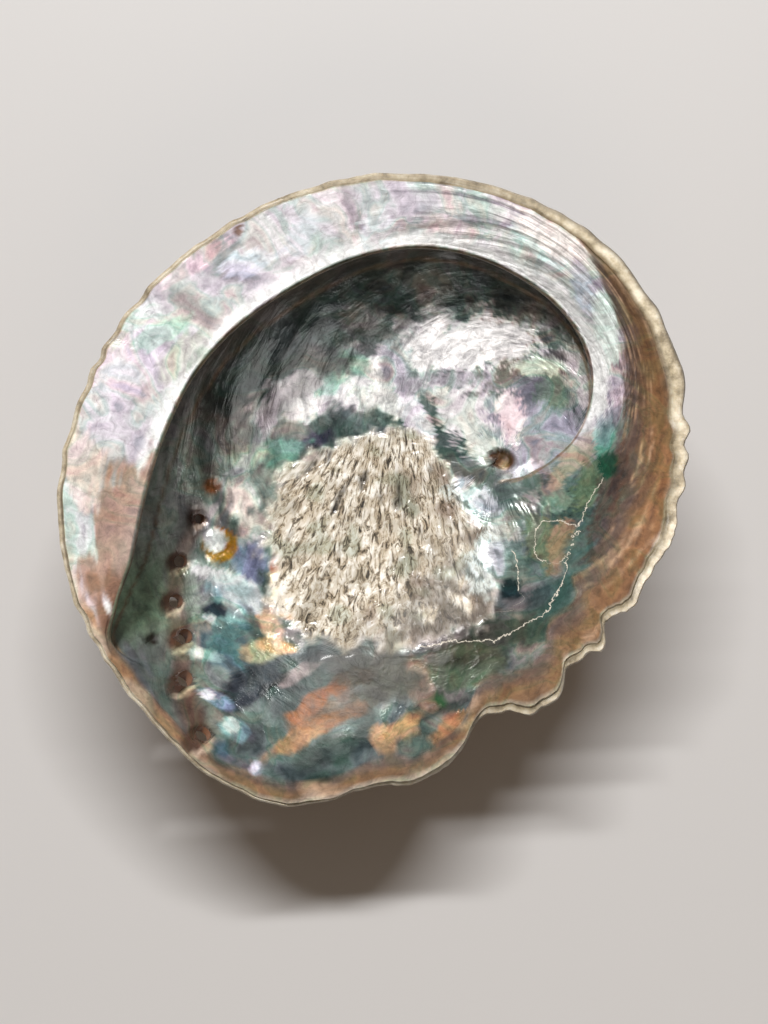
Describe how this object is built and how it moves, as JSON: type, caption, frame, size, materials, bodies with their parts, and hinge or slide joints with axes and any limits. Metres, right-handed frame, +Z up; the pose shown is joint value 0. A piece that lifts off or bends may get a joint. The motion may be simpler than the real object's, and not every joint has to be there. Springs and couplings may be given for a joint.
{
  "type": "abalone shell",
  "caption": "Round abalone shell lying bowl-up: an open nacre bowl with a spiral ledge, breathing holes along one side, a small spire and a corrugated back.",
  "frame": {"origin": "on the surface that the shell stands on, under the middle of its bounding box", "axes": "+Z up out of the open bowl, +Y towards the broad end of the ledge as the picture shows it, +X towards the spire"},
  "size_m": [0.1586, 0.1598, 0.0433],
  "materials": {
    "nacre": "glossy iridescent nacre inside, matt and corrugated outer layer on the back"
  },
  "bodies": {
    "root": {"shell": "nacre"}
  },
  "joints": []
}
